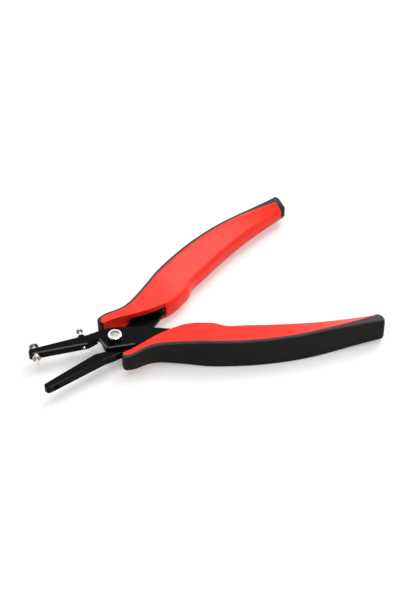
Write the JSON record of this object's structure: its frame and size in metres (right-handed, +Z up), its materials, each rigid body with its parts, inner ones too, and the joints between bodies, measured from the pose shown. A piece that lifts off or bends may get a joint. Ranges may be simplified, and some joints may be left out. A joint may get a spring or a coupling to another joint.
{
  "type": "hole punch pliers",
  "caption": "Hand pliers with slim lapped jaws, a short round punch facing a die hole, a riveted pivot, an adjustable stop screw and two-colour moulded grips.",
  "frame": {"origin": "centre of the bounding box's footprint, on the flat undersides of the grips that the pliers lie on", "axes": "+X along the middle line between the handles, from the jaws towards the handle ends; +Z up along the pivot axis, which stands at x = -39.28 mm, y = 0; +Y completes a right-handed frame, towards the handle of the lever that holds the die hole"},
  "size_m": [0.1618, 0.1062, 0.0164],
  "materials": {
    "black_oxide_steel": "black oxide, satin",
    "bright_steel": "bright nickel plate",
    "rivet_steel": "peened steel",
    "punch_steel": "ground hardened steel",
    "red_grip": "satin red hard plastic",
    "black_grip": "matt black soft plastic"
  },
  "bodies": {
    "punch_lever_side": {"punch_lever": "black_oxide_steel", "punch_grip_core": "red_grip", "punch_grip_cover": "black_grip", "pivot_rivet": "rivet_steel", "pivot_collar": "bright_steel", "punch_guide": "bright_steel", "punch_knob": "bright_steel", "punch_pin": "punch_steel", "stop_lock_nut": "black_oxide_steel"},
    "die_lever_side": {"die_lever": "black_oxide_steel", "die_grip_core": "red_grip", "die_grip_cover": "black_grip"},
    "stop_screw_body": {"stop_screw": "bright_steel"}
  },
  "joints": [
    {"name": "pivot", "type": "hinge", "parent": "punch_lever_side", "child": "die_lever_side", "pos_m": [-0.03928, 0, 0.0082], "axis": [0, 0, 1], "range_deg": [-25.4, 8]},
    {"name": "stop_adjustment", "type": "slide", "parent": "punch_lever_side", "child": "stop_screw_body", "axis": [-0.2198, -0.9755, 0], "range_m": [-0.0015, 0.001]}
  ]
}
